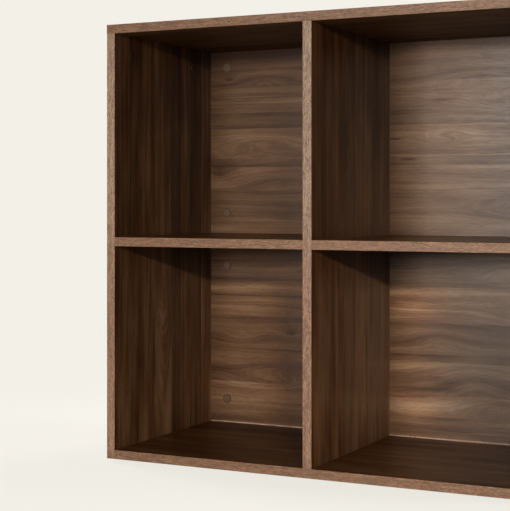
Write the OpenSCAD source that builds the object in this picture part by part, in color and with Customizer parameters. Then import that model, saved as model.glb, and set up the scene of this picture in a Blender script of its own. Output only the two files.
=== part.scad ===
// Cube storage unit: four open bays, two wide and two high, in melamine-faced board.
// The front is at -Y and the back at +Y. The floor is at Z = 0, under the glides.
// The boards are drawn together by cam fittings: a bolt is screwed into an insert nut in
// one board, and an eccentric cam let into the face of the other board holds its head.

/* [Bays] */
// Clear width of a bay
bay_w = 343; // [280:1:420]
// Clear height of a bay
bay_h = 338; // [280:1:400]
// Clear depth of a bay, from the front edges to the back boards
bay_d = 335; // [310:1:400]

/* [Boards] */
// Thickness of the sides, the divider, the shelves, the top and the bottom
board_t = 15; // [15:0.5:19]
// Thickness of the back boards
back_t = 15; // [15:0.5:19]

/* [Edge strips] */
// Thickness of the strips on the front edges
band_t = 1; // [0.8:0.1:2]
// Rounding of the strips' outer corners
band_r = 0.7; // [0.3:0.1:0.7]
// Thickness of the strip under the lower back board
foot_band_t = 2; // [1:0.1:3]

/* [Cam fittings] */
// From the front of the unit to the front row of cams
cam_front = 55; // [40:1:70]
// From the back boards to the rear row of cams
cam_rear = 67; // [50:1:80]
// From a board's end to the centre of the cams in it
cam_reach = 34; // [30:0.5:40]
// Diameter of the pocket for a cam
cam_d = 15; // [15:0.5:18]
// Board left under the pocket
cam_floor = 2.6; // [2:0.1:3]
// How far the cam lies below the board's face
cam_sink = 0.3; // [0.2:0.1:0.5]
// How far the cam's cavity is off its centre
cam_throw = 0.7; // [0.5:0.1:0.8]
// Diameter of the hole along a board for the bolt
bolt_hole_d = 8; // [7.5:0.1:9]
// Diameter of the bolt's shank
shank_d = 7; // [6:0.1:7]
// Diameter of the bolt's neck
neck_d = 3.8; // [3:0.1:4]
// Diameter of the bolt's head
head_d = 6.6; // [6:0.1:6.8]
// Diameter of the bolt's thread
thread_d = 6; // [5:0.1:6.5]
// Length of the bolt's thread
thread_l = 9.5; // [8:0.1:10]
// Diameter of the hole for an insert nut
nut_hole_d = 10; // [10:0.1:11]
// Length of an insert nut
nut_l = 11; // [10.5:0.1:11.5]
// Diameter of a cover cap
cap_d = 17; // [16:0.1:18]
// Thickness of a cover cap
cap_t = 1; // [0.8:0.1:1.5]

/* [Cams in the back boards] */
// Height of the lower row over the shelves, in the upper back board
upper_back_low = 38; // [30:1:70]
// Distance of the upper row from the top panel
upper_back_high = 29; // [25:1:70]
// Height of the lower row over the bottom panel, in the lower back board
lower_back_low = 44; // [30:1:70]
// Distance of the upper row from the shelves' undersides
lower_back_high = 46; // [30:1:70]

/* [Dowels] */
// Diameter of a dowel
dowel_d = 8; // [6:0.1:8]
// Length of a dowel
dowel_l = 30; // [25:1:40]
// How far a dowel reaches into the face of a board
dowel_in_face = 10; // [8:0.5:11]
// Distance from a cam to the next dowel
dowel_pitch = 32; // [24:1:36]

/* [Back screws] */
// Diameter of the screw's head
screw_head_d = 10; // [9:0.1:11]
// Diameter of the screw's plain shank
screw_shank_d = 7; // [6:0.1:7]
// Diameter of the screw's threaded part
screw_core_d = 5; // [4:0.1:5.5]
// Length of the screw
screw_l = 50; // [40:1:60]
// Distance of the screws from the shelf, the top or the bottom panel
screw_inset = 80; // [60:1:110]

/* [Glides] */
// Diameter of a glide
glide_d = 14; // [12:0.5:15]
// Height of a glide
glide_h = 5; // [4:0.5:8]
// Distance of the glides from the front and the rear
glide_inset = 40; // [30:1:41]
// Diameter of a glide's nail
nail_d = 2; // [1.6:0.1:2.4]
// How far the nail goes into the board
nail_in_board = 10; // [8:0.5:12]

/* [Wall strap holes] */
// Diameter of the pilot holes for wall straps
strap_hole_d = 3; // [2:0.1:4]
// Depth of the pilot holes
strap_hole_l = 12; // [8:0.5:13]
// Distance between the two pilot holes
strap_hole_pitch = 500; // [420:1:520]
// Distance of the pilot holes from the top panel
strap_hole_drop = 25; // [20:1:40]

/* [Clearances] */
// Gap all round a fitting, dowel or screw in its hole
fit_gap = 0.1; // [0.05:0.01:0.2]

/* [Hidden] */

$fn = 48;
cut = 1;                                   // how far a cutting shape runs past a face
tip_room = 1;                              // empty end of a hole, past the tip of what is in it

// Planes across the width; the divider stands on x = 0
mid_x = board_t / 2;                       // faces of the divider
side_in_x = mid_x + bay_w;                 // inner faces of the sides
side_out_x = side_in_x + board_t;          // outer faces of the sides
side_mid_x = side_in_x + board_t / 2;      // middle of the sides' thickness
bay_mid_x = mid_x + bay_w / 2;             // middle of a column

// Planes from front to back
front_y = -(bay_d + back_t) / 2;           // front of the edge strips
board_front_y = front_y + band_t;          // front of the boards
back_face_y = front_y + bay_d;             // face of the back boards
rear_y = back_face_y + back_t;             // rear of the unit
back_mid_y = back_face_y + back_t / 2;     // middle of the back boards' thickness

// Levels
bottom_z = glide_h;                        // underside of the bottom panel
floor_z = bottom_z + board_t;              // floor of the lower bays
shelf_z = floor_z + bay_h;                 // underside of the shelves
seam_z = shelf_z + board_t / 2;            // seam of the two back boards, behind the shelves
shelf_top_z = shelf_z + board_t;           // floor of the upper bays
top_z = shelf_top_z + bay_h;               // underside of the top panel
height = top_z + board_t;                  // top of the unit
foot_z = floor_z + foot_band_t;            // lower end of the lower back board

// Rows of fittings from front to back
cam_y = [front_y + cam_front, back_face_y - cam_rear];
dowel_y = [cam_y[0] + dowel_pitch, cam_y[1] - dowel_pitch];
staggered_y = [cam_y[0] + 2 * dowel_pitch, cam_y[1] - 2 * dowel_pitch];
glide_y = [front_y + glide_inset, rear_y - glide_inset];

// A joint is a place on the bolt's axis, in the plane where the two boards meet, and the
// turn that takes +X into the board with the nut and +Z out of the face with the cam.
UP_FACE_RIGHT = [180, -90, 0];
UP_FACE_LEFT = [0, -90, 0];
DOWN_FACE_LEFT = [180, 90, 0];
LEFT_FACE_DOWN = [0, 180, 0];
RIGHT_FACE_DOWN = [180, 0, 0];
LEFT_FACE_FRONT = [90, 180, 0];
RIGHT_FACE_FRONT = [90, 0, 0];

left_top_joints = [for (y = cam_y) [[-side_mid_x, y, top_z], UP_FACE_RIGHT]];
right_top_joints = [for (y = cam_y) [[side_mid_x, y, top_z], UP_FACE_LEFT]];
divider_top_joints = [for (y = cam_y) [[0, y, top_z], UP_FACE_LEFT]];
divider_foot_joints = [for (y = cam_y) [[0, y, floor_z], DOWN_FACE_LEFT]];
left_bottom_joints = [for (y = cam_y) [[-side_in_x, y, bottom_z + board_t / 2], LEFT_FACE_DOWN]];
right_bottom_joints = [for (y = cam_y) [[side_in_x, y, bottom_z + board_t / 2], RIGHT_FACE_DOWN]];
left_shelf_joints = [for (y = cam_y) [[-side_in_x, y, seam_z], LEFT_FACE_DOWN]];
right_shelf_joints = [for (y = cam_y) [[side_in_x, y, seam_z], RIGHT_FACE_DOWN]];
left_cross_joints = [for (y = cam_y) [[-mid_x, y, seam_z], RIGHT_FACE_DOWN]];
right_cross_joints = [for (y = cam_y) [[mid_x, y, seam_z], LEFT_FACE_DOWN]];
upper_back_z = [shelf_top_z + upper_back_low, top_z - upper_back_high];
lower_back_z = [floor_z + lower_back_low, shelf_z - lower_back_high];
left_upper_back_joints = [for (z = upper_back_z) [[-side_in_x, back_mid_y, z], LEFT_FACE_FRONT]];
right_upper_back_joints = [for (z = upper_back_z) [[side_in_x, back_mid_y, z], RIGHT_FACE_FRONT]];
left_lower_back_joints = [for (z = lower_back_z) [[-side_in_x, back_mid_y, z], LEFT_FACE_FRONT]];
right_lower_back_joints = [for (z = lower_back_z) [[side_in_x, back_mid_y, z], RIGHT_FACE_FRONT]];

top_panel_joints = concat(left_top_joints, right_top_joints, divider_top_joints);
left_side_joints = concat(left_bottom_joints, left_shelf_joints,
                          left_upper_back_joints, left_lower_back_joints);
right_side_joints = concat(right_bottom_joints, right_shelf_joints,
                           right_upper_back_joints, right_lower_back_joints);

// Dowels, placed in the same way: +X goes into the board whose face is drilled
side_top_dowels = [for (x = [-side_mid_x, side_mid_x], y = dowel_y) [[x, y, top_z], UP_FACE_LEFT]];
divider_top_dowels = [for (y = dowel_y) [[0, y, top_z], UP_FACE_LEFT]];
back_top_dowels = [for (x = [-bay_mid_x, bay_mid_x]) [[x, back_mid_y, top_z], UP_FACE_LEFT]];
divider_foot_dowels = [for (y = dowel_y) [[0, y, floor_z], DOWN_FACE_LEFT]];
back_foot_dowels = [for (x = [-bay_mid_x, bay_mid_x]) [[x, back_mid_y, floor_z], DOWN_FACE_LEFT]];
left_bottom_dowels = [for (y = dowel_y) [[-side_in_x, y, bottom_z + board_t / 2], LEFT_FACE_DOWN]];
right_bottom_dowels = [for (y = dowel_y) [[side_in_x, y, bottom_z + board_t / 2], RIGHT_FACE_DOWN]];
left_shelf_dowels = [for (y = dowel_y) [[-side_in_x, y, seam_z], LEFT_FACE_DOWN]];
right_shelf_dowels = [for (y = dowel_y) [[side_in_x, y, seam_z], RIGHT_FACE_DOWN]];
left_cross_dowels = [for (y = dowel_y) [[-mid_x, y, seam_z], RIGHT_FACE_DOWN]];
right_cross_dowels = [for (y = staggered_y) [[mid_x, y, seam_z], LEFT_FACE_DOWN]];
back_end_z = [(floor_z + seam_z) / 2, (seam_z + top_z) / 2];
left_back_dowels = [for (z = back_end_z) [[-side_in_x, back_mid_y, z], LEFT_FACE_FRONT]];
right_back_dowels = [for (z = back_end_z) [[side_in_x, back_mid_y, z], RIGHT_FACE_FRONT]];
seam_dowels = [for (x = [-bay_mid_x, bay_mid_x]) [[x, back_mid_y, seam_z], UP_FACE_LEFT]];

// Back screws: places on the rear face
upper_screw_z = [shelf_top_z + screw_inset, top_z - screw_inset];
lower_screw_z = [floor_z + screw_inset, shelf_z - screw_inset];

module at_joints(joints) {
    for (j = joints) translate(j[0]) rotate(j[1]) children();
}

module at_back_screws(levels) {
    for (z = levels) translate([0, rear_y, z]) rotate([90, 0, 0]) children();
}

module at_glides(columns) {
    for (x = columns, y = glide_y) translate([x, y, 0]) children();
}

// A plain board between two corners
module board(low, high) {
    translate(low) cube(high - low);
}

// ---- Cam fitting, in the joint's own frame ----

cam_r = cam_d / 2 - fit_gap;
cavity_d = head_d + 3.4;                   // room for the head to swing in
cavity_h = head_d + 0.6;
slot_h = neck_d + 0.8;                     // slot in the cam's wall that the neck runs in
slot_start = -35;                          // the slot begins just past the bolt
cam_entry = 110;                           // the way in for the head, turned aside when locked
head_back = 2.6;                           // from the cam's centre to the head's shoulder
head_cone = 1.1;                           // length of the shoulder down to the neck
head_nose = 0.6;                           // how far the head reaches past the cam's centre
recess_d = 4.4;                            // middle of the driver recess
recess_l = 6.8;                            // length of the recess's arms
recess_w = 1.3;                            // width of the recess's arms
recess_depth = 2.4;
head_round = 1.2;                          // bevel round the end of the head
neck_end = cam_d / 2 + 0.5;                // from the cam's centre to where the shank begins
collar_l = 1.5;
collar_d = bolt_hole_d - 2 * fit_gap;
tip_chamfer = 0.8;
nut_collar_l = 1.2;                        // plain collar at the nut's mouth
barb_start = 2;
barb_depth = 0.5;
barbs = 3;
stem_gap = 0.3;                            // left under the stem of a cap, in the driver recess

// Depth of the pocket in a board of thickness t
function pocket_depth(t) = t - cam_floor;

// The pocket for the cam and the hole along the board for its bolt
module cam_pocket(t) {
    translate([-cam_reach, 0, t / 2 - pocket_depth(t)]) cylinder(d = cam_d, h = pocket_depth(t) + cut);
    translate([-cam_reach, 0, 0]) rotate([0, 90, 0]) cylinder(d = bolt_hole_d, h = cam_reach + cut);
}

// The blind hole for an insert nut
module nut_hole() {
    translate([-cut, 0, 0]) rotate([0, 90, 0]) cylinder(d = nut_hole_d, h = nut_l + tip_room + cut);
}

// The cam in its locked position: its cavity is off centre and draws the head inwards
module cam(t) {
    color("silver")
    translate([-cam_reach, 0, 0])
    difference() {
        translate([0, 0, t / 2 - pocket_depth(t)]) cylinder(r = cam_r, h = pocket_depth(t) - cam_sink);
        translate([-cam_throw, 0, -cavity_h / 2]) cylinder(d = cavity_d, h = cavity_h);
        rotate([0, 0, slot_start]) rotate_extrude(angle = cam_entry - slot_start)
            translate([head_d / 2, -slot_h / 2]) square([cam_d, slot_h]);
        rotate([0, 90, cam_entry]) cylinder(d = cavity_h, h = cam_d);
        translate([0, 0, t / 2 - cam_sink - recess_depth]) driver_recess();
    }
}

// A crossed recess with a round middle
module driver_recess() {
    cylinder(d = recess_d, h = recess_depth + cut);
    for (a = [0, 90]) rotate(a)
        translate([-recess_l / 2, -recess_w / 2, 0]) cube([recess_l, recess_w, recess_depth + cut]);
}

// Head, neck and shank of a bolt, up to a distance from the joint's plane
module bolt_front(shank_end) {
    rotate([0, 90, 0]) rotate_extrude() polygon([
        [0, -cam_reach - head_nose],
        [head_d / 2 - head_round, -cam_reach - head_nose],
        [head_d / 2, -cam_reach - head_nose + head_round],
        [head_d / 2, -cam_reach + head_back],
        [neck_d / 2, -cam_reach + head_back + head_cone],
        [neck_d / 2, -cam_reach + neck_end],
        [shank_d / 2, -cam_reach + neck_end],
        [shank_d / 2, shank_end],
        [0, shank_end]
    ]);
}

// A bolt: its collar sits on the insert nut, and its thread is inside
module bolt() {
    color("gainsboro") {
        bolt_front(-collar_l);
        rotate([0, 90, 0]) rotate_extrude() polygon([
            [0, -collar_l],
            [collar_d / 2, -collar_l],
            [collar_d / 2, 0],
            [thread_d / 2 - fit_gap / 2, 0],
            [thread_d / 2 - fit_gap / 2, thread_l - tip_chamfer],
            [thread_d / 2 - tip_chamfer, thread_l],
            [0, thread_l]
        ]);
    }
}

// A bolt with a head at each end, for the two shelves that meet on the divider
module double_bolt() {
    color("gainsboro")
    for (turn = [0, 180]) rotate([0, 0, turn]) translate([-mid_x, 0, 0]) bolt_front(mid_x);
}

// A barbed insert nut, let in from the joint's plane
module insert_nut() {
    outer_r = nut_hole_d / 2 - fit_gap;
    core_r = outer_r - barb_depth;
    bore_r = thread_d / 2 + fit_gap / 2;
    barb_l = (nut_l - barb_start) / barbs;
    color("ivory") rotate([0, 90, 0]) rotate_extrude() polygon(concat(
        [[bore_r, 0], [outer_r, 0], [outer_r, nut_collar_l], [core_r, nut_collar_l], [core_r, barb_start]],
        [for (i = [0 : barbs - 1]) each
            [[outer_r, barb_start + i * barb_l], [core_r, barb_start + (i + 1) * barb_l]]],
        [[bore_r, nut_l]]
    ));
}

// A cover cap: a thin disc on the board's face, with a stem in the driver recess
module cap(t) {
    edge_r = cap_t / 2;
    stem_l = cam_sink + recess_depth - stem_gap;
    color("saddlebrown") translate([-cam_reach, 0, t / 2]) rotate_extrude() {
        square([cap_d / 2 - edge_r, cap_t]);
        square([cap_d / 2, cap_t - edge_r]);
        translate([cap_d / 2 - edge_r, cap_t - edge_r]) circle(r = edge_r);
        translate([0, -stem_l]) square([recess_d / 2 - fit_gap, stem_l + edge_r]);
    }
}

// ---- Dowels, screws and glides ----

// The hole for a dowel, with in_face of its length past the joint's plane
module dowel_hole(in_face) {
    translate([in_face - dowel_l - tip_room, 0, 0]) rotate([0, 90, 0])
        cylinder(d = dowel_d + 2 * fit_gap, h = dowel_l + 2 * tip_room);
}

dowel_edge = 1;                            // bevel round a dowel's ends

module dowel(in_face) {
    color("burlywood") translate([in_face - dowel_l, 0, 0]) rotate([0, 90, 0]) rotate_extrude() polygon([
        [0, 0],
        [dowel_d / 2 - dowel_edge, 0],
        [dowel_d / 2, dowel_edge],
        [dowel_d / 2, dowel_l - dowel_edge],
        [dowel_d / 2 - dowel_edge, dowel_l],
        [0, dowel_l]
    ]);
}

screw_head_l = 1;
screw_cone_l = 2.5;
screw_tip_l = 2;
shank_back = 1;                            // the plain shank ends this far inside the back board
hex_key = 4;                               // size of the key for the screw's socket
hex_depth = 3;

// Profile of a back screw, or of the hole for it when it is grown by a gap
module screw_profile(gap) {
    shank_end = back_t - shank_back;
    polygon([
        [0, 0],
        [screw_head_d / 2 + gap, 0],
        [screw_head_d / 2 + gap, screw_head_l + gap],
        [screw_shank_d / 2 + gap, screw_head_l + screw_cone_l + gap],
        [screw_shank_d / 2 + gap, shank_end + gap],
        [screw_core_d / 2 + gap, shank_end + gap],
        [screw_core_d / 2 + gap, screw_l - screw_tip_l + gap],
        [0, screw_l + gap]
    ]);
}

// The hole for a back screw, with the part in the back board as wide as the shank
module screw_hole() {
    rotate_extrude() screw_profile(fit_gap);
    cylinder(d = screw_shank_d + 2 * fit_gap, h = back_t);
    translate([0, 0, -cut]) cylinder(d = screw_head_d + 2 * fit_gap, h = 2 * cut);
}

module back_screw() {
    color("silver") difference() {
        rotate_extrude() screw_profile(0);
        translate([0, 0, -cut]) cylinder(d = hex_key / cos(30), h = hex_depth + cut, $fn = 6);
    }
}

nail_head_d = nail_d + 3;
nail_head_l = 1;
nail_tip_l = 1.5;
nail_recess = 1.5;                         // how far the nail's head lies above the floor
glide_edge = 1;                            // bevel round the glide's lower end

module glide() {
    color("dimgray") difference() {
        rotate_extrude() polygon([
            [0, 0],
            [glide_d / 2 - glide_edge, 0],
            [glide_d / 2, glide_edge],
            [glide_d / 2, glide_h],
            [0, glide_h]
        ]);
        translate([0, 0, -cut]) cylinder(d = nail_head_d + 2 * fit_gap, h = nail_recess + nail_head_l + cut);
        cylinder(d = nail_d + 2 * fit_gap, h = glide_h + cut);
    }
}

module glide_nail() {
    color("silver") rotate_extrude() polygon([
        [0, nail_recess],
        [nail_head_d / 2, nail_recess],
        [nail_head_d / 2, nail_recess + nail_head_l],
        [nail_d / 2, nail_recess + nail_head_l],
        [nail_d / 2, glide_h + nail_in_board - nail_tip_l],
        [0, glide_h + nail_in_board]
    ]);
}

module nail_hole() {
    cylinder(d = nail_d + 2 * fit_gap, h = glide_h + nail_in_board + fit_gap);
}

// ---- Boards ----

module side_board(bolts, cams, dowels) {
    color("sienna") difference() {
        board([-side_out_x, board_front_y, bottom_z], [-side_in_x, rear_y, top_z]);
        at_joints(cams) cam_pocket(board_t);
        at_joints(bolts) nut_hole();
        at_joints(dowels) dowel_hole(dowel_in_face);
        at_glides([-side_mid_x]) nail_hole();
    }
}

module left_side() {
    side_board(left_side_joints, left_top_joints,
               concat(side_top_dowels, left_bottom_dowels, left_shelf_dowels, left_back_dowels));
}

module right_side() {
    mirror([1, 0, 0]) left_side();
}

// The hole right through the divider for a double bolt
module cross_bolt_hole() {
    translate([-cut, 0, 0]) rotate([0, 90, 0]) cylinder(d = bolt_hole_d, h = board_t + 2 * cut);
}

module divider() {
    color("sienna") difference() {
        board([-mid_x, board_front_y, floor_z], [mid_x, back_face_y, top_z]);
        at_joints(concat(divider_top_joints, divider_foot_joints)) cam_pocket(board_t);
        at_joints(left_cross_joints) cross_bolt_hole();
        at_joints(concat(divider_top_dowels, divider_foot_dowels, left_cross_dowels, right_cross_dowels))
            dowel_hole(dowel_in_face);
        at_back_screws(concat(upper_screw_z, lower_screw_z)) screw_hole();
    }
}

module top_panel() {
    color("sienna") difference() {
        board([-side_out_x + band_t, board_front_y, top_z], [side_out_x - band_t, rear_y, height]);
        at_joints(top_panel_joints) nut_hole();
        at_joints(concat(side_top_dowels, divider_top_dowels, back_top_dowels)) dowel_hole(dowel_in_face);
    }
}

module bottom_panel() {
    color("sienna") difference() {
        board([-side_in_x, board_front_y, bottom_z], [side_in_x, rear_y, floor_z]);
        at_joints(concat(left_bottom_joints, right_bottom_joints)) cam_pocket(board_t);
        at_joints(divider_foot_joints) nut_hole();
        at_joints(concat(left_bottom_dowels, right_bottom_dowels, divider_foot_dowels, back_foot_dowels))
            dowel_hole(dowel_in_face);
        at_glides([0]) nail_hole();
    }
}

module left_shelf() {
    color("sienna") difference() {
        board([-side_in_x, board_front_y, shelf_z], [-mid_x, back_face_y, shelf_top_z]);
        at_joints(concat(left_shelf_joints, left_cross_joints)) cam_pocket(board_t);
        at_joints(concat(left_shelf_dowels, left_cross_dowels)) dowel_hole(dowel_in_face);
    }
}

module right_shelf() {
    color("sienna") difference() {
        board([mid_x, board_front_y, shelf_z], [side_in_x, back_face_y, shelf_top_z]);
        at_joints(concat(right_shelf_joints, right_cross_joints)) cam_pocket(board_t);
        at_joints(concat(right_shelf_dowels, right_cross_dowels)) dowel_hole(dowel_in_face);
    }
}

module upper_back() {
    color("peru") difference() {
        board([-side_in_x, back_face_y, seam_z], [side_in_x, rear_y, top_z]);
        at_joints(concat(left_upper_back_joints, right_upper_back_joints)) cam_pocket(back_t);
        at_joints(concat([left_back_dowels[1], right_back_dowels[1]], back_top_dowels))
            dowel_hole(dowel_in_face);
        at_joints(seam_dowels) dowel_hole(dowel_l / 2);
        at_back_screws(upper_screw_z) screw_hole();
        for (x = [-1, 1] * strap_hole_pitch / 2) translate([x, rear_y + cut, top_z - strap_hole_drop])
            rotate([90, 0, 0]) cylinder(d = strap_hole_d, h = strap_hole_l + cut);
    }
}

module lower_back() {
    color("peru") difference() {
        board([-side_in_x, back_face_y, foot_z], [side_in_x, rear_y, seam_z]);
        at_joints(concat(left_lower_back_joints, right_lower_back_joints)) cam_pocket(back_t);
        at_joints(concat([left_back_dowels[0], right_back_dowels[0]], back_foot_dowels))
            dowel_hole(dowel_in_face);
        at_joints(seam_dowels) dowel_hole(dowel_l / 2);
        at_back_screws(lower_screw_z) screw_hole();
    }
}

// ---- Edge strips ----

// Section of a strip of width w: flat where it is glued, with rounded outer corners
module band_section(w) {
    intersection() {
        square([w, band_t]);
        union() {
            square([w, band_t - band_r]);
            translate([band_r, 0]) square([w - 2 * band_r, band_t]);
            for (x = [band_r, w - band_r]) translate([x, band_t - band_r]) circle(r = band_r);
        }
    }
}

// A strip on the front edge of an upright board whose lower left front corner is given
module upright_band(x, z, length) {
    color("rosybrown") translate([x, board_front_y, z]) linear_extrude(length)
        mirror([0, 1]) band_section(board_t);
}

// A strip on the front edge of a level board
module level_band(x, z, length) {
    color("rosybrown") translate([x, board_front_y, z]) rotate([90, 0, 90]) linear_extrude(length)
        rotate(90) band_section(board_t);
}

module left_side_band() { upright_band(-side_out_x, bottom_z, top_z - bottom_z); }
module right_side_band() { upright_band(side_in_x, bottom_z, top_z - bottom_z); }
module divider_band() { upright_band(-mid_x, floor_z, top_z - floor_z); }
module left_shelf_band() { level_band(-side_in_x, shelf_z, bay_w); }
module right_shelf_band() { level_band(mid_x, shelf_z, bay_w); }
module bottom_panel_band() { level_band(-side_in_x, bottom_z, 2 * side_in_x); }
module top_panel_front_band() { level_band(-side_out_x, top_z, 2 * side_out_x); }

// The strips on the ends of the top panel, behind the front strip
module top_panel_left_band() {
    color("rosybrown") translate([-side_out_x + band_t, rear_y, top_z]) rotate([90, 0, 0])
        linear_extrude(rear_y - board_front_y) rotate(90) band_section(board_t);
}

module top_panel_right_band() { mirror([1, 0, 0]) top_panel_left_band(); }

// The strip that the lower back board stands on, drilled for the dowels
module lower_back_foot_band() {
    color("rosybrown") difference() {
        board([-side_in_x, back_face_y, floor_z], [side_in_x, rear_y, foot_z]);
        at_joints(back_foot_dowels) dowel_hole(dowel_in_face);
    }
}

// ---- Fittings by place ----

module side_cams() { at_joints(concat(left_top_joints, right_top_joints)) cam(board_t); }
module divider_cams() { at_joints(concat(divider_top_joints, divider_foot_joints)) cam(board_t); }
module bottom_panel_cams() { at_joints(concat(left_bottom_joints, right_bottom_joints)) cam(board_t); }
module left_shelf_cams() { at_joints(concat(left_shelf_joints, left_cross_joints)) cam(board_t); }
module right_shelf_cams() { at_joints(concat(right_shelf_joints, right_cross_joints)) cam(board_t); }
module upper_back_cams() { at_joints(concat(left_upper_back_joints, right_upper_back_joints)) cam(back_t); }
module lower_back_cams() { at_joints(concat(left_lower_back_joints, right_lower_back_joints)) cam(back_t); }

module top_panel_bolts() { at_joints(top_panel_joints) bolt(); }
module bottom_panel_bolts() { at_joints(divider_foot_joints) bolt(); }
module left_side_bolts() { at_joints(left_side_joints) bolt(); }
module right_side_bolts() { at_joints(right_side_joints) bolt(); }
module double_bolts() { for (y = cam_y) translate([0, y, seam_z]) double_bolt(); }

module top_panel_nuts() { at_joints(top_panel_joints) insert_nut(); }
module bottom_panel_nuts() { at_joints(divider_foot_joints) insert_nut(); }
module left_side_nuts() { at_joints(left_side_joints) insert_nut(); }
module right_side_nuts() { at_joints(right_side_joints) insert_nut(); }

module side_caps() { at_joints(concat(left_top_joints, right_top_joints)) cap(board_t); }
module divider_caps() { at_joints(concat(divider_top_joints, divider_foot_joints)) cap(board_t); }
module left_shelf_caps() { at_joints(concat(left_shelf_joints, left_cross_joints)) cap(board_t); }
module right_shelf_caps() { at_joints(concat(right_shelf_joints, right_cross_joints)) cap(board_t); }
module upper_back_caps() { at_joints(concat(left_upper_back_joints, right_upper_back_joints)) cap(back_t); }
module lower_back_caps() { at_joints(concat(left_lower_back_joints, right_lower_back_joints)) cap(back_t); }

module top_dowels() {
    at_joints(concat(side_top_dowels, divider_top_dowels)) dowel(dowel_in_face);
}
module bottom_dowels() {
    at_joints(concat(left_bottom_dowels, right_bottom_dowels, divider_foot_dowels)) dowel(dowel_in_face);
}
module shelf_dowels() {
    at_joints(concat(left_shelf_dowels, right_shelf_dowels, left_cross_dowels, right_cross_dowels))
        dowel(dowel_in_face);
}
module back_dowels() {
    at_joints(concat(left_back_dowels, right_back_dowels, back_top_dowels, back_foot_dowels))
        dowel(dowel_in_face);
    at_joints(seam_dowels) dowel(dowel_l / 2);
}

module back_screws() { at_back_screws(concat(upper_screw_z, lower_screw_z)) back_screw(); }
module glides() { at_glides([-side_mid_x, 0, side_mid_x]) glide(); }
module glide_nails() { at_glides([-side_mid_x, 0, side_mid_x]) glide_nail(); }

left_side();
right_side();
divider();
top_panel();
bottom_panel();
left_shelf();
right_shelf();
upper_back();
lower_back();
left_side_band();
right_side_band();
divider_band();
left_shelf_band();
right_shelf_band();
bottom_panel_band();
top_panel_front_band();
top_panel_left_band();
top_panel_right_band();
lower_back_foot_band();
side_cams();
divider_cams();
bottom_panel_cams();
left_shelf_cams();
right_shelf_cams();
upper_back_cams();
lower_back_cams();
top_panel_bolts();
bottom_panel_bolts();
left_side_bolts();
right_side_bolts();
double_bolts();
top_panel_nuts();
bottom_panel_nuts();
left_side_nuts();
right_side_nuts();
side_caps();
divider_caps();
left_shelf_caps();
right_shelf_caps();
upper_back_caps();
lower_back_caps();
top_dowels();
bottom_dowels();
shelf_dowels();
back_dowels();
back_screws();
glides();
glide_nails();
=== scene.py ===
# %% [markdown]
# # An open cube storage unit in walnut-look board
#
# The real thing is a flat-pack unit: two columns and two rows of square bays. Its boards are
# chipboard with a printed and varnished paper face, called melamine. Thin plastic strips cover
# the front edges, and cam fittings under brown caps draw the boards together.
#
# The shapes are already settled in CAD, so this lesson is mostly about finishes. It could be
# done by painting one brown over everything. Instead every board gets a grain that runs the way
# the sheet was cut, and every hidden fitting gets the metal or plastic that it is made of.

import math

import bmesh
import bpy
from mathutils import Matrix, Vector

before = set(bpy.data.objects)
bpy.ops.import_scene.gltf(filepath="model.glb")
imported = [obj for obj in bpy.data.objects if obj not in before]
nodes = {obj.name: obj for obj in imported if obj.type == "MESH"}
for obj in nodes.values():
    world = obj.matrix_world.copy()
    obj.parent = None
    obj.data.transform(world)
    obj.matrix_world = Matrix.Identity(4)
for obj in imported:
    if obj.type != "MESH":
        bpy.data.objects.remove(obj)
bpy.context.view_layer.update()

# %% [markdown]
# ## The camera
#
# A unit like this is shown from the right of its middle with the camera held level, so that
# upright boards stay upright. It could be aimed by turning the camera down, but then the sides
# would lean. A level camera with a small vertical shift keeps every upright edge parallel.

# %% Place the camera
CAMERA_PLACE = (0.8655, -2.074, 0.435)
CAMERA_TURN = math.radians(26.7)
CAMERA_LEVEL = math.radians(90)
CAMERA_LENS = 95.25
CAMERA_SENSOR = 36.0
CAMERA_SHIFT = -0.109

camera_data = bpy.data.cameras.new("level_camera")
camera_data.lens = CAMERA_LENS
camera_data.sensor_width = CAMERA_SENSOR
camera_data.shift_y = CAMERA_SHIFT
camera_data.dof.use_dof = False
camera = bpy.data.objects.new("level_camera", camera_data)
bpy.context.collection.objects.link(camera)
camera.location = CAMERA_PLACE
camera.rotation_euler = (CAMERA_LEVEL, 0, CAMERA_TURN)
bpy.context.scene.camera = camera
bpy.context.scene.view_settings.view_transform = "Standard"
print("camera:", CAMERA_PLACE, "turned", round(math.degrees(CAMERA_TURN), 1), "degrees")

# %% [markdown]
# ## A short way to write a finish
#
# A finish is a graph of nodes, and wiring each node by hand hides the idea behind it. The
# helper below keeps one material open and gives a short method for each step: arithmetic,
# noise, a colour ramp. A finish then reads like a recipe, from the board's own coordinates
# to its colour.

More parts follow.
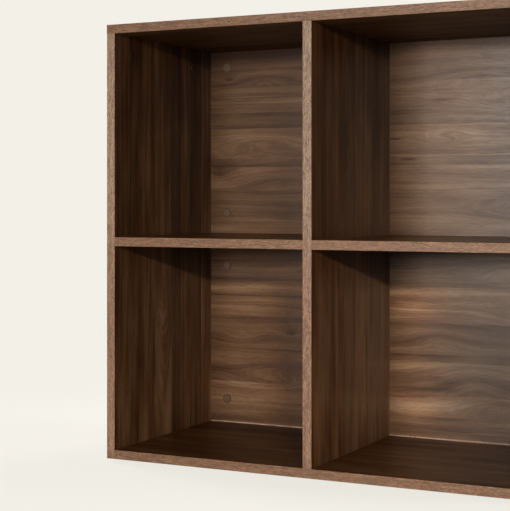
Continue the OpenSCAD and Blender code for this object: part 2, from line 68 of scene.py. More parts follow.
# %% The finish helper
class Finish:
    """One node material, written step by step. Numbers and sockets mix freely."""

    def __init__(self, name):
        self.material = bpy.data.materials.new(name)
        self.material.use_nodes = True
        self.tree = self.material.node_tree
        self.shader = self.tree.nodes["Principled BSDF"]
        self.place = self.new("ShaderNodeTexCoord").outputs["Object"]
        self.x, self.y, self.z = self.new("ShaderNodeSeparateXYZ", Vector=self.place).outputs

    def new(self, kind, **inputs):
        node = self.tree.nodes.new(kind)
        for name, value in inputs.items():
            self.feed(node.inputs[name.replace("_", " ")], value)
        return node

    def feed(self, socket, value):
        if isinstance(value, bpy.types.NodeSocket):
            self.tree.links.new(value, socket)
        else:
            socket.default_value = value

    def math(self, operation, *values, clamp=False):
        node = self.tree.nodes.new("ShaderNodeMath")
        node.operation = operation
        node.use_clamp = clamp
        for socket, value in zip(node.inputs, values):
            self.feed(socket, value)
        return node.outputs[0]

    def add(self, a, b):
        return self.math("ADD", a, b)

    def times(self, a, b):
        return self.math("MULTIPLY", a, b)

    def distance(self, a, b):
        """The straight distance, from its two parts at right angles."""
        return self.math("SQRT", self.add(self.times(a, a), self.times(b, b)))

    def span(self, value, low, high, to_low=0.0, to_high=1.0):
        """Runs smoothly from to_low to to_high while the value goes from low to high."""
        node = self.new("ShaderNodeMapRange", Value=value)
        node.interpolation_type = "SMOOTHSTEP"
        ends = {"From Min": low, "From Max": high, "To Min": to_low, "To Max": to_high}
        for name, number in ends.items():
            node.inputs[name].default_value = number
        return node.outputs["Result"]

    def vector(self, x, y, z):
        return self.new("ShaderNodeCombineXYZ", X=x, Y=y, Z=z).outputs[0]

    def stretched(self, steps):
        """The place counted in steps per metre, which may differ along X, Y and Z."""
        axes = (self.x, self.y, self.z)
        return self.vector(*[self.times(axis, number) for axis, number in zip(axes, steps)])

    def noise(self, vector, scale=1.0, detail=2.0, roughness=0.5, distortion=0.0):
        node = self.new("ShaderNodeTexNoise", Vector=vector, Scale=scale, Detail=detail,
                        Roughness=roughness, Distortion=distortion)
        return node.outputs[0]

    def ramp(self, value, stops, steps=False):
        node = self.new("ShaderNodeValToRGB", Fac=value)
        ramp = node.color_ramp
        ramp.interpolation = "CONSTANT" if steps else "LINEAR"
        while len(ramp.elements) < len(stops):
            ramp.elements.new(1.0)
        for element, (position, color) in zip(ramp.elements, stops):
            element.position = position
            element.color = (*color, 1.0)
        return node.outputs["Color"]

    def mix(self, amount, a, b, kind="MIX"):
        node = self.tree.nodes.new("ShaderNodeMix")
        node.data_type = "RGBA"
        node.blend_type = kind
        self.feed(node.inputs[0], amount)
        for socket, value in ((node.inputs[6], a), (node.inputs[7], b)):
            is_color = isinstance(value, tuple) and len(value) == 3
            self.feed(socket, (*value, 1.0) if is_color else value)
        return node.outputs[2]

    def tinted(self, color, tint):
        return self.mix(1.0, color, tint, "MULTIPLY")

    def grey(self, value):
        return self.new("ShaderNodeCombineColor", Red=value, Green=value, Blue=value).outputs[0]

    def parts(self, color):
        return self.new("ShaderNodeSeparateColor", Color=color).outputs

    def normal(self):
        node = self.new("ShaderNodeNewGeometry")
        return self.new("ShaderNodeSeparateXYZ", Vector=node.outputs["True Normal"]).outputs

    def bump(self, height, strength, distance):
        node = self.new("ShaderNodeBump", Height=height)
        node.inputs["Strength"].default_value = strength
        node.inputs["Distance"].default_value = distance
        self.feed(self.shader.inputs["Normal"], node.outputs[0])

    def finish(self, color, roughness, metallic=0.0, **constants):
        self.feed(self.shader.inputs["Base Color"], color)
        self.feed(self.shader.inputs["Roughness"], roughness)
        self.shader.inputs["Metallic"].default_value = metallic
        for name, value in constants.items():
            self.shader.inputs[name.replace("_", " ")].default_value = value
        return self.material


def dress(material, *names):
    for name in names:
        mesh = nodes[name].data
        mesh.materials.clear()
        mesh.materials.append(material)


print("finish helper ready")

# %% [markdown]
# ## Soft spots
#
# Arches, knots, strokes and shaded patches all begin as a soft spot on the board: full in the
# middle and gone at the edge. A spot could be a circle with a hard rim, but wood has no such
# rims. A bell curve fades by itself, and it may be longer than it is wide.

# %% A soft spot
def bell(f, along, across, spot):
    """1 in the middle and 0 outside. A spot is (along, across, length, width) in metres."""
    middle_along, middle_across, length, width = spot
    a = f.times(f.add(along, -middle_along), 1 / length)
    b = f.times(f.add(across, -middle_across), 1 / width)
    return f.math("EXPONENT", f.times(f.add(f.times(a, a), f.times(b, b)), -1.0))


print("soft spot ready")

# %% [markdown]
# ## Bent grain lines
#
# Grain lines run straight until the saw cuts a growth ring at a slant. There they rise over an
# arch, nest in pointed tongues, or swerve round a knot. The lines could be drawn one by one.
# Here the board's own coordinate across the grain is bent instead, and every line that is
# laid over it bends along.

# %% Bend the lines
TONGUE_LEAN = 0.14       # how slowly a tongue narrows along the grain
TONGUE_CURVE = 0.6       # how round its tip is
TONGUE_FILL = 1.8        # more than 1 keeps the middle of a tongue at full strength
KNOT_LENGTH = 2.6        # the lines swerve over a longer and wider spot than the knot itself
KNOT_WIDTH = 2.4
KNOT_SWERVE = 0.014      # metres


def bend(f, along, across, bent, arches, tongues, knots):
    for spot, lift in arches:
        bent = f.add(bent, f.times(bell(f, along, across, spot), lift))
    for spot, side in tongues:
        middle_along, middle_across, _, width = spot
        window = f.math("MULTIPLY", bell(f, along, across, spot), TONGUE_FILL, clamp=True)
        off = f.add(across, -middle_across)
        lean = f.times(f.add(along, -middle_along), TONGUE_LEAN * side)
        curve = f.add(lean, f.times(f.times(off, off), TONGUE_CURVE / width))
        bent = f.add(bent, f.times(window, f.math("SUBTRACT", curve, off)))
    for (middle_along, middle_across, length, width), _ in knots:
        ring = (middle_along, middle_across, length * KNOT_LENGTH, width * KNOT_WIDTH)
        bent = f.add(bent, f.times(bell(f, along, across, ring), KNOT_SWERVE))
    return bent


print("bending ready")

# %% [markdown]
# ## Walnut grain
#
# The printed face shows narrow planks laid side by side, each with its own shade. Within a
# plank run broad bands, fine lines and tiny dark pores, all much longer than they are wide.
# An image of wood could be wrapped on, but it would repeat and blur close up. Here noise is
# stretched along the grain. The pale planks of the print are a little cool and the dark ones
# warm, so each plank carries a warmth of its own beside its shade.

# %% The walnut recipe
DARK_WALNUT = (0.040, 0.016, 0.006)
MIDDLE_WALNUT = (0.084, 0.038, 0.015)
WARM_WALNUT = (0.120, 0.061, 0.027)
PALE_WALNUT = (0.190, 0.116, 0.064)
WALNUT_TONES = [(0.42, DARK_WALNUT), (0.62, MIDDLE_WALNUT), (0.74, WARM_WALNUT),
                (0.98, PALE_WALNUT)]
COOL_TINT = (0.94, 1.00, 1.09)
WARM_TINT = (1.09, 0.98, 0.87)
WANDER_STEPS = (4.0, 26.0)       # steps per metre, along and across the grain
BAND_STEPS = (1.7, 72.0)
LINE_STEPS = (6.0, 380.0)
FLECK_STEPS = (70.0, 620.0)
PORE_STEPS = (38.0, 1500.0)
MOTTLE_STEPS = (8.0, 28.0)
WANDER_WIDTH = 0.018             # metres that the lines stray
BAND_SHARE = 0.58                # how much each mark counts in the tone
LINE_SHARE = 0.37
MOTTLE_SHARE = 0.41
FLECK_SHARE = 0.26
PORE_SHARE = 0.07
MIDDLE_TONE = 0.68               # the tone that stays when the streaks are made bolder
PLANK_OFFSET = 9.0               # metres along, so that no plank repeats its neighbour
SATIN = (0.34, 0.28)             # roughness of the dark and the pale figure


def plank_stops(planks):
    """Ramp stops that hold each plank's shade, warmth and offset in red, green and blue."""
    first, last = planks[0][0], planks[-1][0]
    reach = last - first + 0.001
    stops = [((start - first) / reach, (shade / 2, warmth, (7 * number % 11) / 11))
             for number, (start, shade, warmth) in enumerate(planks)]
    return first, reach, stops


def walnut(f, along, across, planks, arches=(), tongues=(), knots=(), strokes=(), bold=1.0):
    """Colour, gloss and height of a walnut face.

    planks: (start, shade, warmth); arches: (spot, lift) raise the lines; tongues: (spot, side)
    nest them in pointed curves; knots and strokes: (spot, strength), where strokes wider than
    50 mm are painted light and shade; bold: how strongly the streaks stand out.
    """
    first, reach, stops = plank_stops(planks)
    place = f.math("MULTIPLY", f.add(across, -first), 1 / reach, clamp=True)
    shade, warmth, shift = f.parts(f.ramp(place, stops, steps=True))[:3]
    moved = f.add(along, f.times(shift, PLANK_OFFSET))

    def marks(steps, sideways, **character):
        counted = f.vector(f.times(moved, steps[0]), f.times(sideways, steps[1]), shift)
        return f.noise(counted, **character)

    wander = marks(WANDER_STEPS, across, detail=1.0)
    bent = f.add(across, f.times(f.add(wander, -0.5), WANDER_WIDTH))
    bent = bend(f, along, across, bent, arches, tongues, knots)
    bands = marks(BAND_STEPS, bent, detail=2.0, roughness=0.45)
    lines = marks(LINE_STEPS, bent, detail=3.0, roughness=0.62)
    flecks = marks(FLECK_STEPS, bent, detail=2.0)
    pores = marks(PORE_STEPS, across, detail=1.0)
    mottle = marks(MOTTLE_STEPS, across, detail=1.5)

    tone = f.add(f.times(bands, BAND_SHARE), f.times(lines, LINE_SHARE))
    tone = f.add(tone, f.times(mottle, MOTTLE_SHARE))
    if bold != 1.0:
        tone = f.add(f.times(tone, bold), MIDDLE_TONE * (1.0 - bold))
    tone = f.add(tone, f.times(f.add(flecks, -0.5), FLECK_SHARE))
    for spot, strength in [*strokes, *knots]:
        tone = f.add(tone, f.times(bell(f, along, across, spot), strength))
    dashes = f.span(pores, 0.60, 0.72)
    tone = f.math("SUBTRACT", tone, f.times(dashes, PORE_SHARE))

    color = f.tinted(f.ramp(tone, WALNUT_TONES), f.grey(f.times(shade, 2.0)))
    color = f.tinted(color, f.mix(warmth, COOL_TINT, WARM_TINT))
    height = f.math("SUBTRACT", f.times(lines, 0.5), dashes)
    return color, f.span(tone, 0.5, 0.9, *SATIN), height


print("walnut recipe ready")

# %% [markdown]
# ## Raw chipboard
#
# Where a board was sawn and nothing covers it, as on the rear edges and in drilled holes, the
# pressed wood chips show. They could be drawn with plain noise, but chips are flat flakes, each
# with its own shade. Voronoi cells give such flakes, and fine noise adds the dust between them.

# %% The chipboard recipe
CHIP_DARK = (0.20, 0.125, 0.068)
CHIP_TAN = (0.39, 0.275, 0.165)
CHIP_PALE = (0.52, 0.40, 0.26)
CHIPS_PER_METRE = 420.0
DUST_PER_METRE = 900.0


def chipboard(f):
    """Colour and height of a sawn edge."""
    chips = f.new("ShaderNodeTexVoronoi", Vector=f.place, Scale=CHIPS_PER_METRE)
    chip = f.parts(chips.outputs["Color"])[0]
    dust = f.noise(f.place, scale=DUST_PER_METRE, detail=2.0)
    tone = f.add(f.times(chip, 0.7), f.times(dust, 0.3))
    return f.ramp(tone, [(0.12, CHIP_DARK), (0.40, CHIP_TAN), (0.85, CHIP_PALE)]), tone


print("chipboard recipe ready")

# %% [markdown]
# ## One board, two surfaces
#
# A board is walnut on its faces and chipboard on its cuts. The choice could be made by hand
# for each triangle. It is simpler to ask which way the surface points: a face points along the
# board's thickness, and everything else on that board is a cut.
#
# A board may also have a tint, and patches of painted light and shade on the face that is seen.
# The real boards are all cut from one print, and much of the difference between them is light
# and shade. Lamps alone could not be brought to give all of it, so the tints and the patches
# were fitted by measure, and so were the few strokes wider than 50 mm and the dark planks of
# the shelves. All of these are painted light and shade, part of the colour, and they stay when
# the light changes.

# %% The board recipe
RAW_ROUGHNESS = 0.9
FACE_LIMIT = 0.7         # how squarely the surface has to face along the thickness
GRAIN_STRENGTH = 0.25
GRAIN_DEPTH = 0.0002
NO_TINT = (1.0, 1.0, 1.0)


def board_finish(name, thickness_axis, along, across, planks, tint=NO_TINT, painted_light=(),
                 painted_side=1, shine=0.30, duller=0.0, **figures):
    """A walnut board with raw edges. Its patches: (spot, tint), painted light and shade on the one
    face that is seen.
    """
    f = Finish(name)
    axes = {"x": f.x, "y": f.y, "z": f.z}
    outward = f.normal()["xyz".index(thickness_axis)]
    face = f.math("GREATER_THAN", f.math("ABSOLUTE", outward), FACE_LIMIT)
    painted_mask = f.math("GREATER_THAN", f.times(outward, painted_side), FACE_LIMIT)
    color, gloss, height = walnut(f, axes[along], axes[across], planks, **figures)
    color = f.tinted(color, tint)
    # Painted light and shade: each patch tints a part of the seen face paler or darker.
    for spot, light_tint in painted_light:
        amount = f.times(bell(f, axes[along], axes[across], spot), painted_mask)
        color = f.mix(amount, color, f.tinted(color, light_tint))
    raw_color, raw_height = chipboard(f)
    f.bump(f.mix(face, f.grey(raw_height), f.grey(height)), GRAIN_STRENGTH, GRAIN_DEPTH)
    satin = f.times(face, f.add(gloss, duller - RAW_ROUGHNESS))
    return f.finish(f.mix(face, raw_color, color), f.add(satin, RAW_ROUGHNESS),
                    Specular_IOR_Level=shine)


print("board recipe ready")

# %% [markdown]
# ## The back boards
#
# On the real unit the two back boards are seen most, and their grain runs level. The planks
# are 12 to 72 mm wide and go across both columns without a break at the divider. A random
# pattern would do for an unseen board. Here the seams, the arches and the knots are placed one
# by one, in metres on the board, so that the face has the same character.

# %% Planks, arches and knots of the back boards
BACK_PLANKS = [
    (0.018, 0.85, 0.65), (0.032, 0.98, 0.50), (0.058, 1.22, 0.35), (0.095, 0.76, 0.85),
    (0.128, 1.06, 0.45), (0.152, 0.76, 0.85), (0.220, 1.36, 0.28), (0.283, 0.90, 0.60),
    (0.346, 1.00, 0.50), (0.395, 0.92, 0.60), (0.452, 1.20, 0.40), (0.494, 0.96, 0.55),
    (0.511, 1.36, 0.25), (0.566, 0.74, 0.80), (0.594, 1.00, 0.55), (0.606, 1.18, 0.40),
    (0.618, 0.94, 0.60), (0.640, 0.82, 0.75), (0.712, 0.80, 0.75),
]
BACK_ARCHES = [
    ((-0.238, 0.658, 0.060, 0.014), -0.017), ((-0.250, 0.545, 0.100, 0.020), -0.020),
    ((-0.190, 0.470, 0.080, 0.012), -0.010), ((0.165, 0.125, 0.085, 0.030), -0.034),
    ((0.175, 0.650, 0.090, 0.020), -0.020), ((-0.290, 0.180, 0.050, 0.014), 0.014),
    ((0.095, 0.200, 0.060, 0.018), -0.018), ((0.235, 0.320, 0.100, 0.020), -0.020),
    ((0.250, 0.600, 0.090, 0.020), 0.020), ((0.230, 0.080, 0.080, 0.018), -0.018),
]
BACK_TONGUES = [
    ((-0.232, 0.115, 0.075, 0.020), -1), ((0.104, 0.546, 0.034, 0.011), -1),
    ((0.250, 0.430, 0.080, 0.020), 1), ((0.270, 0.250, 0.070, 0.018), -1),
]
BACK_KNOTS = [
    ((-0.184, 0.192, 0.010, 0.0050), -0.34), ((-0.322, 0.490, 0.032, 0.0150), -0.22),
    ((-0.334, 0.484, 0.012, 0.0080), -0.14), ((-0.311, 0.659, 0.005, 0.0022), -0.30),
    ((0.290, 0.660, 0.009, 0.0050), -0.30),
]
print("back boards:", len(BACK_PLANKS), "planks,", len(BACK_KNOTS), "knots")

# %% [markdown]
# ## Strokes, and painted light and shade, on the back boards
#
# Single dark or pale strokes run along the grain, some short and black, some as long as the
# board. Noise alone never puts one where the eye expects it, so each is a long thin spot. The
# patches are larger spots of painted light and shade on these boards: paler and cooler in the
# right column, darker beside the divider and under the top.

# %% Dress the back boards
BACK_STROKES = [
    ((0.100, 0.608, 0.014, 0.0014), -0.62), ((0.016, 0.542, 0.010, 0.0014), -0.62),
    ((0.043, 0.506, 0.010, 0.0016), -0.66), ((0.092, 0.163, 0.050, 0.0050), -0.22),
    ((0.020, 0.163, 0.018, 0.0030), -0.16), ((0.082, 0.106, 0.055, 0.0040), -0.22),
    ((0.110, 0.118, 0.030, 0.0120), -0.14), ((-0.050, 0.498, 0.400, 0.0030), -0.12),
    ((-0.190, 0.159, 0.070, 0.0020), -0.26), ((-0.100, 0.216, 0.400, 0.0040), -0.14),
    ((-0.220, 0.287, 0.200, 0.0050), -0.12), ((-0.220, 0.258, 0.300, 0.0014), -0.12),
    ((-0.100, 0.273, 0.400, 0.0060), 0.08), ((-0.200, 0.615, 0.090, 0.0016), 0.16),
    ((-0.270, 0.626, 0.060, 0.0012), 0.12), ((0.050, 0.512, 0.300, 0.0016), 0.14),
    ((0.050, 0.459, 0.200, 0.0040), 0.14), ((-0.180, 0.448, 0.110, 0.0030), -0.16),
    ((-0.238, 0.669, 0.045, 0.0014), 0.14), ((-0.230, 0.650, 0.030, 0.0018), 0.12),
    ((-0.050, 0.146, 0.300, 0.0090), 0.14), ((-0.280, 0.096, 0.080, 0.0020), 0.14),
    ((0.060, 0.080, 0.200, 0.0120), 0.10), ((-0.050, 0.036, 0.400, 0.0080), -0.08),
    ((-0.180, 0.120, 0.030, 0.0100), -0.12), ((0.060, 0.248, 0.200, 0.0100), 0.06),
    ((-0.330, 0.556, 0.050, 0.0080), 0.08), ((-0.330, 0.380, 0.030, 0.0050), 0.10),
    ((0.050, 0.436, 0.300, 0.0060), -0.08),
]
# Painted light and shade: each patch tints a part of the seen face paler or darker.
BACK_PAINTED_LIGHT = [
    ((-0.185, 0.350, 0.055, 0.900), (0.97, 0.86, 0.72)),
    ((-0.185, 0.150, 0.040, 0.140), (0.84, 0.76, 0.66)),
    ((-0.300, 0.150, 0.100, 0.220), (1.27, 1.29, 1.33)),
    ((0.150, 0.360, 0.160, 0.900), (1.40, 1.46, 1.56)),
    ((0.035, 0.150, 0.050, 0.130), (1.38, 1.46, 1.62)),
    ((0.050, 0.250, 0.034, 0.030), (1.45, 1.36, 1.28)),
    ((0.056, 0.072, 0.036, 0.022), (1.42, 1.34, 1.26)),
    ((0.035, 0.146, 0.030, 0.008), (1.25, 1.20, 1.15)),
    ((0.080, 0.695, 0.080, 0.020), (1.50, 1.42, 1.30)),
    ((0.165, 0.160, 0.062, 0.200), (0.55, 0.60, 0.69)),
    ((0.012, 0.345, 0.030, 0.030), (0.42, 0.37, 0.33)),
    ((0.010, 0.560, 0.018, 0.200), (0.80, 0.76, 0.72)),
    ((-0.260, 0.700, 0.120, 0.018), (0.80, 0.58, 0.48)),
    ((-0.260, 0.352, 0.120, 0.018), (1.40, 1.10, 0.58)),
    ((0.080, 0.356, 0.120, 0.018), (0.68, 0.65, 0.56)),
    ((-0.065, 0.190, 0.060, 0.160), (0.92, 0.88, 0.80)),
]
# Painted light: the tint makes both back boards paler and cooler.
BACK_TINT = (1.01, 1.10, 1.25)
FRONT_SIDE = -1                  # the seen face of a back board points towards -Y
back_walnut = board_finish("walnut_back_boards", "y", "x", "z", BACK_PLANKS, tint=BACK_TINT,
                           painted_light=BACK_PAINTED_LIGHT, painted_side=FRONT_SIDE, arches=BACK_ARCHES,
                           tongues=BACK_TONGUES, knots=BACK_KNOTS, strokes=BACK_STROKES)
dress(back_walnut, "upper_back", "lower_back")
print("back boards:", len(BACK_STROKES), "strokes,", len(BACK_PAINTED_LIGHT), "painted_light")

# %% [markdown]
# ## Upright boards
#
# On the sides and the divider the grain runs up and down, because those boards are cut along
# the sheet. They could share one finish, but then all walls would match, and on the real unit
# no two do. The same recipe serves, with its length turned to the height of the board, and
# each board gets planks of its own. The left side and the divider also have a tint, patches and
# strokes wider than 50 mm that are painted light and shade, and one patch on the divider is a
# painted shadow in the corner under the right shelf.

# %% The two sides
UPRIGHT_BOLD = 1.4
UPRIGHT_SHINE = 0.14
LEFT_PLANKS = [
    (-0.180, 0.96, 0.75), (-0.128, 0.82, 0.65), (-0.100, 1.22, 0.50), (-0.058, 0.82, 0.55),
    (-0.046, 1.12, 0.50), (0.014, 0.70, 0.40), (0.046, 1.04, 0.45), (0.079, 0.80, 0.45),
    (0.121, 1.12, 0.50), (0.170, 0.95, 0.50),
]
RIGHT_PLANKS = [
    (-0.180, 0.95, 0.50), (-0.120, 1.05, 0.45), (-0.060, 0.90, 0.55), (0.000, 1.04, 0.40),
    (0.060, 0.92, 0.50), (0.118, 1.02, 0.55), (0.170, 0.95, 0.50),
]
SIDE_ARCHES = [((0.560, 0.060, 0.150, 0.018), -0.018), ((0.480, -0.110, 0.120, 0.014), 0.012)]
SIDE_TONGUES = [((0.180, -0.015, 0.090, 0.026), -1)]
# The two strokes wider than 50 mm are painted shade and light: darker in the upper bay, paler low
# down at the back.
LEFT_STROKES_AND_PAINTED_LIGHT = [
    ((0.350, 0.013, 0.500, 0.0015), -0.16), ((0.600, 0.000, 0.200, 0.4000), -0.13),
    ((0.150, 0.100, 0.140, 0.1200), 0.07), ((0.130, -0.050, 0.050, 0.0060), -0.22),
]
# Painted light: paler along the front edge, more so high up, and paler near the foot.
LEFT_PAINTED_LIGHT = [
    ((0.350, -0.160, 0.900, 0.100), (1.10, 1.12, 1.10)),
    ((0.560, -0.120, 0.150, 0.090), (1.15, 1.20, 1.20)),
    ((0.080, 0.000, 0.090, 0.500), (1.28, 1.28, 1.28)),
]
# Painted light: the tint makes the left side paler and cooler.
LEFT_TINT = (1.14, 1.20, 1.36)
left_walnut = board_finish("walnut_left_side", "x", "z", "y", LEFT_PLANKS, tint=LEFT_TINT,
                           painted_light=LEFT_PAINTED_LIGHT, shine=UPRIGHT_SHINE, bold=UPRIGHT_BOLD,
                           arches=SIDE_ARCHES, tongues=SIDE_TONGUES, strokes=LEFT_STROKES_AND_PAINTED_LIGHT)
right_walnut = board_finish("walnut_right_side", "x", "z", "y", RIGHT_PLANKS,
                            shine=UPRIGHT_SHINE, bold=UPRIGHT_BOLD, arches=SIDE_ARCHES,
                            tongues=SIDE_TONGUES)
dress(left_walnut, "left_side")
dress(right_walnut, "right_side")
print("sides:", len(LEFT_PLANKS), "and", len(RIGHT_PLANKS), "planks")

# %% The divider
DIVIDER_PLANKS = [
    (-0.180, 1.14, 0.75), (-0.140, 0.92, 0.60), (-0.095, 1.06, 0.55), (-0.070, 0.76, 0.60),
    (-0.029, 0.84, 0.55), (0.000, 1.22, 0.45), (0.045, 1.08, 0.45), (0.080, 1.02, 0.40),
    (0.115, 1.12, 0.45), (0.165, 0.95, 0.50),
]
DIVIDER_ARCHES = [((0.170, 0.030, 0.140, 0.018), 0.018)]
DIVIDER_TONGUES = [((0.520, -0.040, 0.170, 0.024), 1)]
# The three strokes wider than 50 mm are painted light: paler low down, most at the back, and high
# up at the back.
DIVIDER_STROKES_AND_PAINTED_LIGHT = [
    ((0.350, -0.078, 0.500, 0.0015), 0.16), ((0.160, 0.090, 0.150, 0.1200), 0.24),
    ((0.170, -0.020, 0.140, 0.3000), 0.07), ((0.440, 0.080, 0.070, 0.0900), 0.16),
]
# Painted light and shade: darker and warmer high at the front, darker under the top, cooler along
# the back, paler low down, and a painted shadow in the corner under the right shelf.
DIVIDER_PAINTED_LIGHT = [
    ((0.560, -0.150, 0.200, 0.140), (0.80, 0.62, 0.38)),
    ((0.640, 0.090, 0.100, 0.140), (0.70, 0.70, 0.72)),
    ((0.350, 0.110, 0.900, 0.090), (0.90, 0.98, 1.12)),
    ((0.200, -0.120, 0.160, 0.080), (1.12, 1.08, 1.04)),
    ((0.075, 0.000, 0.080, 0.500), (1.24, 1.22, 1.20)),
    ((0.330, 0.115, 0.026, 0.060), (0.64, 0.60, 0.58)),
]
# The tint is painted shade too: a little darker and cooler.
DIVIDER_TINT = (0.97, 0.95, 1.02)
divider_walnut = board_finish("walnut_divider", "x", "z", "y", DIVIDER_PLANKS,
                              tint=DIVIDER_TINT, painted_light=DIVIDER_PAINTED_LIGHT, shine=UPRIGHT_SHINE,
                              bold=UPRIGHT_BOLD, arches=DIVIDER_ARCHES,
                              tongues=DIVIDER_TONGUES, strokes=DIVIDER_STROKES_AND_PAINTED_LIGHT)
dress(divider_walnut, "divider")
print("divider:", len(DIVIDER_PLANKS), "planks,", len(DIVIDER_PAINTED_LIGHT), "painted_light")

# %% [markdown]
# ## Level boards
#
# The shelves, the top and the bottom are cut with the grain running from side to side. Inside
# the bays they are seen at a low angle, where only the long streaks remain, so their planks
# stay close in shade. They could share one finish with the top, but the top is seen from
# above in full, so it gets planks with more contrast. The boards in the bays also get painted
# shade: their planks and tint are darker and warmer than the top's, because these lamps leave
# them brighter than a room would.

# %% Shelves and bottom
# Painted shade: these planks are darker than those of the top.
LEVEL_PLANKS = [
    (-0.180, 0.78, 0.60), (-0.121, 0.72, 0.55), (-0.062, 0.82, 0.65), (-0.004, 0.74, 0.55),
    (0.055, 0.80, 0.60), (0.113, 0.73, 0.60), (0.170, 0.78, 0.60),
]
LEVEL_ARCHES = [
    ((-0.180, -0.080, 0.120, 0.020), 0.018), ((0.190, 0.040, 0.140, 0.020), -0.018),
    ((0.020, 0.100, 0.150, 0.016), 0.014),
]
# Both strokes are painted light and shade: the bay floors in the left column darker, those in the
# right column paler.
LEVEL_LIGHT_AND_SHADE_STROKES = [((-0.210, 0.0, 0.130, 1.0), -0.07), ((0.190, 0.0, 0.130, 1.0), 0.14)]
LEVEL_KNOTS = [((0.130, -0.090, 0.014, 0.007), -0.3)]
# Painted shade: the tint makes the boards in the bays darker and warmer.
LEVEL_TINT = (0.96, 0.83, 0.70)
level_walnut = board_finish("walnut_level_boards", "z", "x", "y", LEVEL_PLANKS, bold=1.4,
                            tint=LEVEL_TINT, shine=0.05, strokes=LEVEL_LIGHT_AND_SHADE_STROKES,
                            arches=LEVEL_ARCHES, knots=LEVEL_KNOTS)
dress(level_walnut, "bottom_panel", "left_shelf", "right_shelf")
print("shelves and bottom:", len(LEVEL_PLANKS), "planks")

# %% The top
TOP_PLANKS = [
    (-0.180, 1.00, 0.50), (-0.121, 0.84, 0.45), (-0.062, 1.10, 0.55), (-0.004, 0.90, 0.45),
    (0.055, 1.04, 0.50), (0.113, 0.86, 0.50), (0.170, 0.95, 0.50),
]
TOP_ARCHES = [
    ((-0.180, -0.060, 0.140, 0.022), 0.018), ((0.120, 0.050, 0.120, 0.020), -0.018),
]
TOP_TONGUES = [((0.240, -0.095, 0.090, 0.020), 1)]
TOP_KNOTS = [((0.130, -0.090, 0.010, 0.005), -0.3)]
TOP_TINT = (0.96, 0.92, 0.90)
top_walnut = board_finish("walnut_top", "z", "x", "y", TOP_PLANKS, tint=TOP_TINT, shine=0.08,
                          duller=0.14, arches=TOP_ARCHES, tongues=TOP_TONGUES,
                          knots=TOP_KNOTS)
dress(top_walnut, "top_panel")
print("top:", len(TOP_PLANKS), "planks")

# %% [markdown]
# ## Edge strips
#
# Thin plastic strips are glued over the front edges. Theirs is a paler, finer figure than the
# faces: short flecks that follow the strip. One finish could not serve them all, because the
# flecks have to run along each strip, so the recipe is told which way is long. The upright
# strips are painted paler and cooler in the upper row and warmer in the lower one, as light,
# so theirs may change its tint with the height.

# %% The strip recipe
STRIP_TONES = [(0.40, (0.120, 0.066, 0.038)), (0.50, (0.245, 0.148, 0.094)),
               (0.60, (0.400, 0.270, 0.190))]
FLECKS_ALONG = 230               # steps per metre
FLECKS_ACROSS = 2300
DRIFT_SIZE = 0.24                # the broad drift has this share of the flecks' steps
TINT_CHANGE = (0.25, 0.50)       # heights between which the lower tint gives way
STRIP_SATIN = (0.52, 0.44)


def strip_finish(name, long_axis, tint=NO_TINT, upper_light_tint=None):
    """A fine flecked strip. long_axis: the way that it runs."""
    f = Finish(name)
    steps = [FLECKS_ALONG if axis == long_axis else FLECKS_ACROSS for axis in "xyz"]
    flecks = f.noise(f.stretched(steps), detail=2.0, roughness=0.6)
    drift = f.noise(f.stretched([number * DRIFT_SIZE for number in steps]), detail=2.0)
    tone = f.add(f.times(flecks, 0.7), f.times(drift, 0.3))
    # Painted light: higher up the strip takes the paler, cooler upper tint.
    shade = f.mix(f.span(f.z, *TINT_CHANGE), tint, upper_light_tint or tint)
    f.bump(flecks, GRAIN_STRENGTH, GRAIN_DEPTH)
    return f.finish(f.tinted(f.ramp(tone, STRIP_TONES), shade),
                    f.span(flecks, 0.3, 0.7, *STRIP_SATIN), Specular_IOR_Level=0.4)


print("strip recipe ready")

# %% Strips on the front edges
# Painted light: the second tint makes the upright strips paler and cooler in the upper row.
upright_strip = strip_finish("strip_upright", "z", (0.87, 0.76, 0.69), (1.02, 1.05, 1.06))
left_strip = strip_finish("strip_left", "z", (0.94, 0.82, 0.75), (1.12, 1.16, 1.18))
level_strip = strip_finish("strip_level", "x", (0.72, 0.58, 0.455))
foot_strip = strip_finish("strip_foot", "x", (1.30, 1.35, 1.40))
end_strip = strip_finish("strip_front_to_back", "y")
strips = {
    upright_strip: ("right_side_band", "divider_band"),
    left_strip: ("left_side_band",),
    level_strip: ("left_shelf_band", "right_shelf_band", "bottom_panel_band",
                  "top_panel_front_band"),
    foot_strip: ("lower_back_foot_band",),
    end_strip: ("top_panel_left_band", "top_panel_right_band"),
}
for strip, names in strips.items():
    dress(strip, *names)
print("strips dressed:", sum(len(names) for names in strips.values()))

# %% [markdown]
# ## Caps
#
# The cams sit under thin brown caps, moulded to match the board. They could all be one brown.
# But the caps on the back boards lie in good light and the others in shade, so the back caps
# are painted a paler brown and the others a darker one. The join round each back cap shows as
# a dark line, which is painted on its rim as shade. The rim is found from the box round the
# four caps of a board: each cap stands at a corner of a rectangle.

# %% Moulded plastic and the caps
CAP_RADIUS = 0.0085
RIM_START = 0.0064               # metres from the middle of a cap
RIM_FULL = 0.0080
RIM_SHADE = 0.52
MOULD_STEPS = 1400.0             # fine texture of the mould, in steps per metre
FLOW_STEPS = 90.0                # flow marks
MOULD_DEPTH = 0.00006
# Painted light and shade: the caps in the bays are a darker brown, those on the back boards a
# paler one.
SHADED_CAP_BROWN = (0.046, 0.025, 0.014)
LIT_CAP_BROWN = (0.108, 0.060, 0.034)


